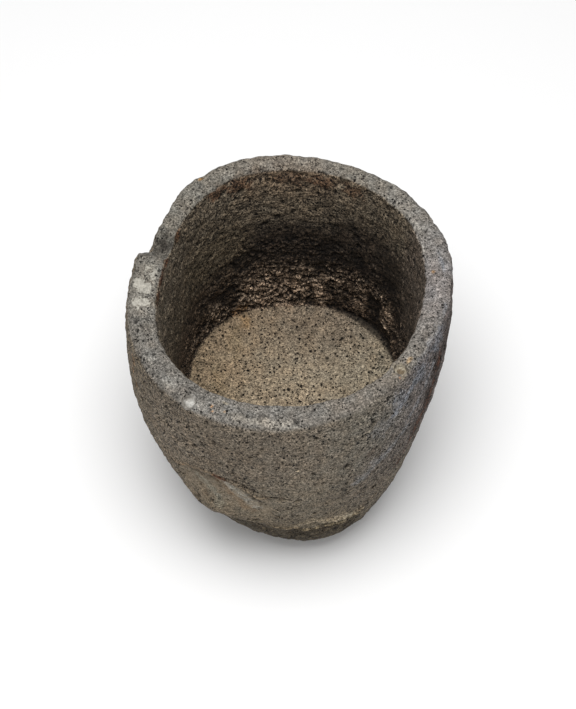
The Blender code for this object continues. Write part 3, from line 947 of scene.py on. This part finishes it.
def crust_mesh(name, ovals, tree, seed):
    """A ragged crust on the stone: a fine grid, kept where its ovals outweigh the lace of gaps."""
    low = [min(o[i] - 1.6 * o[i + 2] for o in ovals if o[4] > 0) for i in (0, 1)]
    high = [max(o[i] + 1.6 * o[i + 2] for o in ovals if o[4] > 0) for i in (0, 1)]
    xs = np.arange(low[0], high[0], CRUST_CELL)
    ys = np.arange(low[1], high[1], CRUST_CELL)
    grid = np.stack(np.meshgrid(xs, ys, indexing="ij"), axis=-1).reshape(-1, 2)
    flat = np.column_stack([grid, np.zeros(len(grid))])
    amount = np.zeros(len(grid))
    for x, y, wide, deep, weight in ovals:
        away = np.hypot((grid[:, 0] - x) / wide, (grid[:, 1] - y) / deep)
        amount += weight * np.clip((1.35 if weight > 0 else 1.6) - away, 0, 1)
    lace = np.abs(noise(flat, 0.0030, seed)) * 1.5 + 0.45 * noise(flat, 0.0013, seed + 1)
    thick = np.clip(amount, -1, 1.0) - 0.20 - 0.62 * lace
    keep = (thick > 0).reshape(len(xs), len(ys))
    full = np.clip(thick / 0.25, 0, 1) ** 0.5
    rough = 0.25 * noise(flat, 0.0016, seed + 2) + 0.12 * noise(flat, 0.0007, seed + 3)
    shape = bmesh.new()
    tint = shape.verts.layers.float_color.new("mineral_colour")
    tops, feet = {}, {}
    for i, j in itertools.product(range(len(xs)), range(len(ys))):
        k = i * len(ys) + j
        if keep[i, j]:
            z = drop(tree, *grid[k])
            tops[i, j] = shape.verts.new((*grid[k], z + CRUST_THICK * full[k] * (0.75 + rough[k])))
            feet[i, j] = shape.verts.new((*grid[k], z - CRUST_SUNK))
            colour = THIN_LIME + (THICK_LIME - THIN_LIME) * min(1.0, thick[k] / 0.35)
            for vert in (tops[i, j], feet[i, j]):
                vert[tint] = (*colour, 1.0)
    for i, j in itertools.product(range(len(xs) - 1), range(len(ys) - 1)):
        corners = [(i, j), (i + 1, j), (i + 1, j + 1), (i, j + 1)]
        if all(c in tops for c in corners):
            shape.faces.new([tops[c] for c in corners])
            shape.faces.new([feet[c] for c in reversed(corners)])
    pair = {tops[c]: feet[c] for c in tops}
    for edge in [e for e in shape.edges if e.is_boundary]:
        a, b = edge.verts
        if a in pair and b in pair:
            loop = edge.link_loops[0]
            first, second = (a, b) if loop.vert == a else (b, a)
            shape.faces.new([second, first, pair[first], pair[second]])
    loose = [v for v in shape.verts if not v.link_faces]
    bmesh.ops.delete(shape, geom=loose, context="VERTS")
    bmesh.ops.smooth_vert(
        shape, verts=shape.verts, factor=0.5, use_axis_x=True, use_axis_y=True, use_axis_z=True
    )
    mesh = bpy.data.meshes.new(name)
    shape.to_mesh(mesh)
    shape.free()
    mesh.shade_smooth()
    return mesh


def pebble_mesh(name, node, tree, seed, proud, bands):
    """A worn mineral body that fills the CAD one's pocket, ground off level with the stone.

    bands are its colours from the middle outwards: share of the radius and colour."""
    low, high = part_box(node)
    middle, half = (low + high) / 2, (high - low) / 2
    shape = bmesh.new()
    tint = shape.verts.layers.float_color.new("mineral_colour")
    bmesh.ops.create_icosphere(shape, subdivisions=5, radius=1.0)
    places = np.array([v.co for v in shape.verts])
    bumps = 0.16 * noise(places, 0.8, seed) + 0.10 * noise(places, 0.3, seed + 1)
    out = np.hypot(places[:, 0], places[:, 1]) + 0.22 * layers(places, 0.7, seed + 3, 3, 0.6)
    stops, colours = zip(*bands)
    colours = np.array([linear(c) for c in colours])
    tones = np.stack([np.interp(out, stops, colours[:, i]) for i in range(3)], axis=1)
    for vert, place, bump, tone in zip(shape.verts, places, bumps, tones):
        x, y, z = (place * (1 + bump)) * np.array(half) * 1.12 + np.array(middle)
        level = drop(tree, x, y) + proud * (1 + 4 * bump)
        vert.co = (x, y, min(z, level) if place[2] > -0.2 else z)
        vert[tint] = (*tone, 1.0)
    mesh = bpy.data.meshes.new(name)
    shape.to_mesh(mesh)
    shape.free()
    mesh.shade_smooth()
    return mesh


def add_piece(name, mesh, node, material):
    piece = new_object(name, mesh)
    mesh.materials.append(material)
    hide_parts(node)
    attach(piece, "root")
    return piece


stone = build_stone()
surface = tree_of(stone)
lime = mineral_material("old_lime_crust", 0.0022, 0.9)
for seed, (name, ovals) in enumerate(CRUSTS.items()):
    add_piece(name + "_flaky", crust_mesh(name, ovals, surface, 201 + 10 * seed), name, lime)

PEBBLES = {
    "white_pebble": (301, ((0.30, (176, 174, 168)), (0.62, (150, 146, 139)), (0.92, (116, 111, 103)))),
    "ringed_pebble": (321, ((0.30, (104, 90, 70)), (0.48, (112, 100, 82)), (0.62, (164, 156, 138)),
                            (0.78, (156, 146, 128)), (0.95, (110, 103, 92)))),
}
for node, (seed, bands) in PEBBLES.items():
    body = pebble_mesh(node + "_worn", node, surface, seed, 0.00012, bands)
    add_piece(node + "_worn", body, node, mineral_material(node + "_mineral", 0.0026, 0.65))


# ---------------------------------------------------------------- floor, light and camera


# Just below the flat underside, so that the two faces are not in one plane.
FLOOR_LEVEL = -0.0002


def add_floor():
    mesh = bpy.data.meshes.new("studio_floor")
    size = 6.0
    corners = [(-size, -size), (size, -size), (size, size), (-size, size)]
    mesh.from_pydata([(x, y, FLOOR_LEVEL) for x, y in corners], [], [(0, 1, 2, 3)])
    floor = new_object("studio_floor", mesh)
    n = Nodes("pale_studio_floor")
    n.shader.inputs["Base Color"].default_value = (0.90, 0.90, 0.90, 1.0)
    n.shader.inputs["Roughness"].default_value = 0.9
    mesh.materials.append(n.material)


def add_light(name, place, aim, size, power):
    light = bpy.data.lights.new(name, "AREA")
    light.shape = "DISK"
    light.size = size
    light.energy = power
    lamp = bpy.data.objects.new(name, light)
    bpy.context.scene.collection.objects.link(lamp)
    lamp.location = place
    lamp.rotation_euler = (Vector(aim) - Vector(place)).to_track_quat("-Z", "Y").to_euler()


def add_world(strength):
    world = bpy.data.worlds.new("soft_studio")
    world.use_nodes = True
    background = world.node_tree.nodes["Background"]
    background.inputs["Color"].default_value = (1.0, 1.0, 1.0, 1.0)
    background.inputs["Strength"].default_value = strength
    bpy.context.scene.world = world


# The camera is an assumption: its lens and tilt were picked, and its place was worked out from them.
CAMERA_LENS = 100
CAMERA_TILT = 59
CAMERA_PLACE = (-0.00077, -0.8181, 1.510)


def add_camera():
    camera = bpy.data.cameras.new("camera")
    camera.lens = CAMERA_LENS
    camera.sensor_width = 36
    holder = bpy.data.objects.new("camera", camera)
    bpy.context.scene.collection.objects.link(holder)
    holder.location = CAMERA_PLACE
    holder.rotation_euler = (math.radians(90 - CAMERA_TILT), 0, 0)
    bpy.context.scene.camera = holder


add_floor()
add_light("overhead_softbox", (-0.05, -0.22, 1.55), (0, 0.01, 0.15), 0.85, 17.5)
add_world(0.60)
add_camera()
bpy.context.scene.view_settings.view_transform = "Standard"
